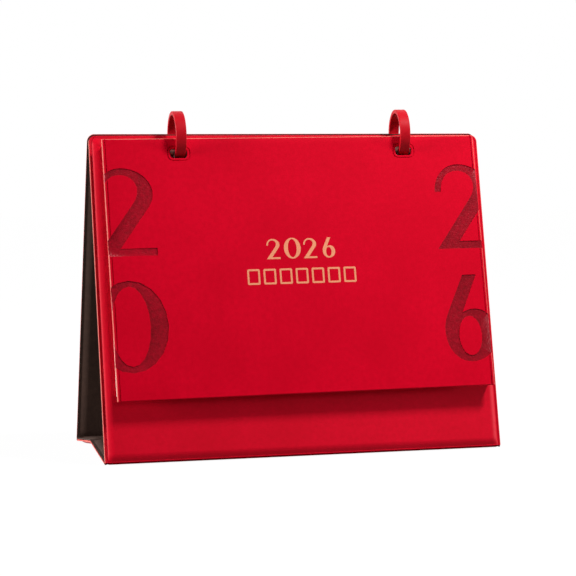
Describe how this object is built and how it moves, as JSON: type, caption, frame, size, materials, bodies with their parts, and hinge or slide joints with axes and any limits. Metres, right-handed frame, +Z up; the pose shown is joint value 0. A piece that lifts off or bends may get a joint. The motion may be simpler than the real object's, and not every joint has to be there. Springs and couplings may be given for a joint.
{
  "type": "desk calendar with stand",
  "caption": "Desk calendar: a folded A-shaped leather-look stand whose two snap rings carry a block of pages and a cover that turns over the top.",
  "frame": {"origin": "middle of the space that the calendar takes up on the desk, at desk level", "axes": "+X along the width to the right as seen from the front, +Y to the back, +Z up"},
  "size_m": [0.24, 0.096, 0.2022],
  "materials": {
    "red_leather": "red artificial leather, fine grain, satin",
    "cover_leather": "red artificial leather, fine grain, satin",
    "dark_lining": "dark brown artificial leather lining, matte",
    "greyboard": "unfinished greyboard",
    "paper": "uncoated ivory paper, cut edges",
    "ring_plastic": "moulded red plastic, satin"
  },
  "bodies": {
    "stand": {"stand_cover": "red_leather", "stand_lining": "dark_lining", "front_board": "greyboard", "back_board": "greyboard", "base_front_board": "greyboard", "base_back_board": "greyboard", "page_block": "paper"},
    "rings": {"ring_left": "ring_plastic", "ring_right": "ring_plastic"},
    "cover": {"front_cover": "cover_leather"}
  },
  "joints": [
    {"name": "rings_turn", "type": "hinge", "parent": "stand", "child": "rings", "pos_m": [0, -0.00157, 0.18659], "axis": [-1, 0, -0.0079], "range_deg": [0, 255]},
    {"name": "cover_swing", "type": "hinge", "parent": "rings", "child": "cover", "pos_m": [0.00008, -0.01181, 0.17681], "axis": [-1, 0, -0.0079], "range_deg": [0, 66]}
  ],
  "couplings": [
    {"joint": "cover_swing", "follows": "rings_turn", "ratio": 0.23956}
  ]
}
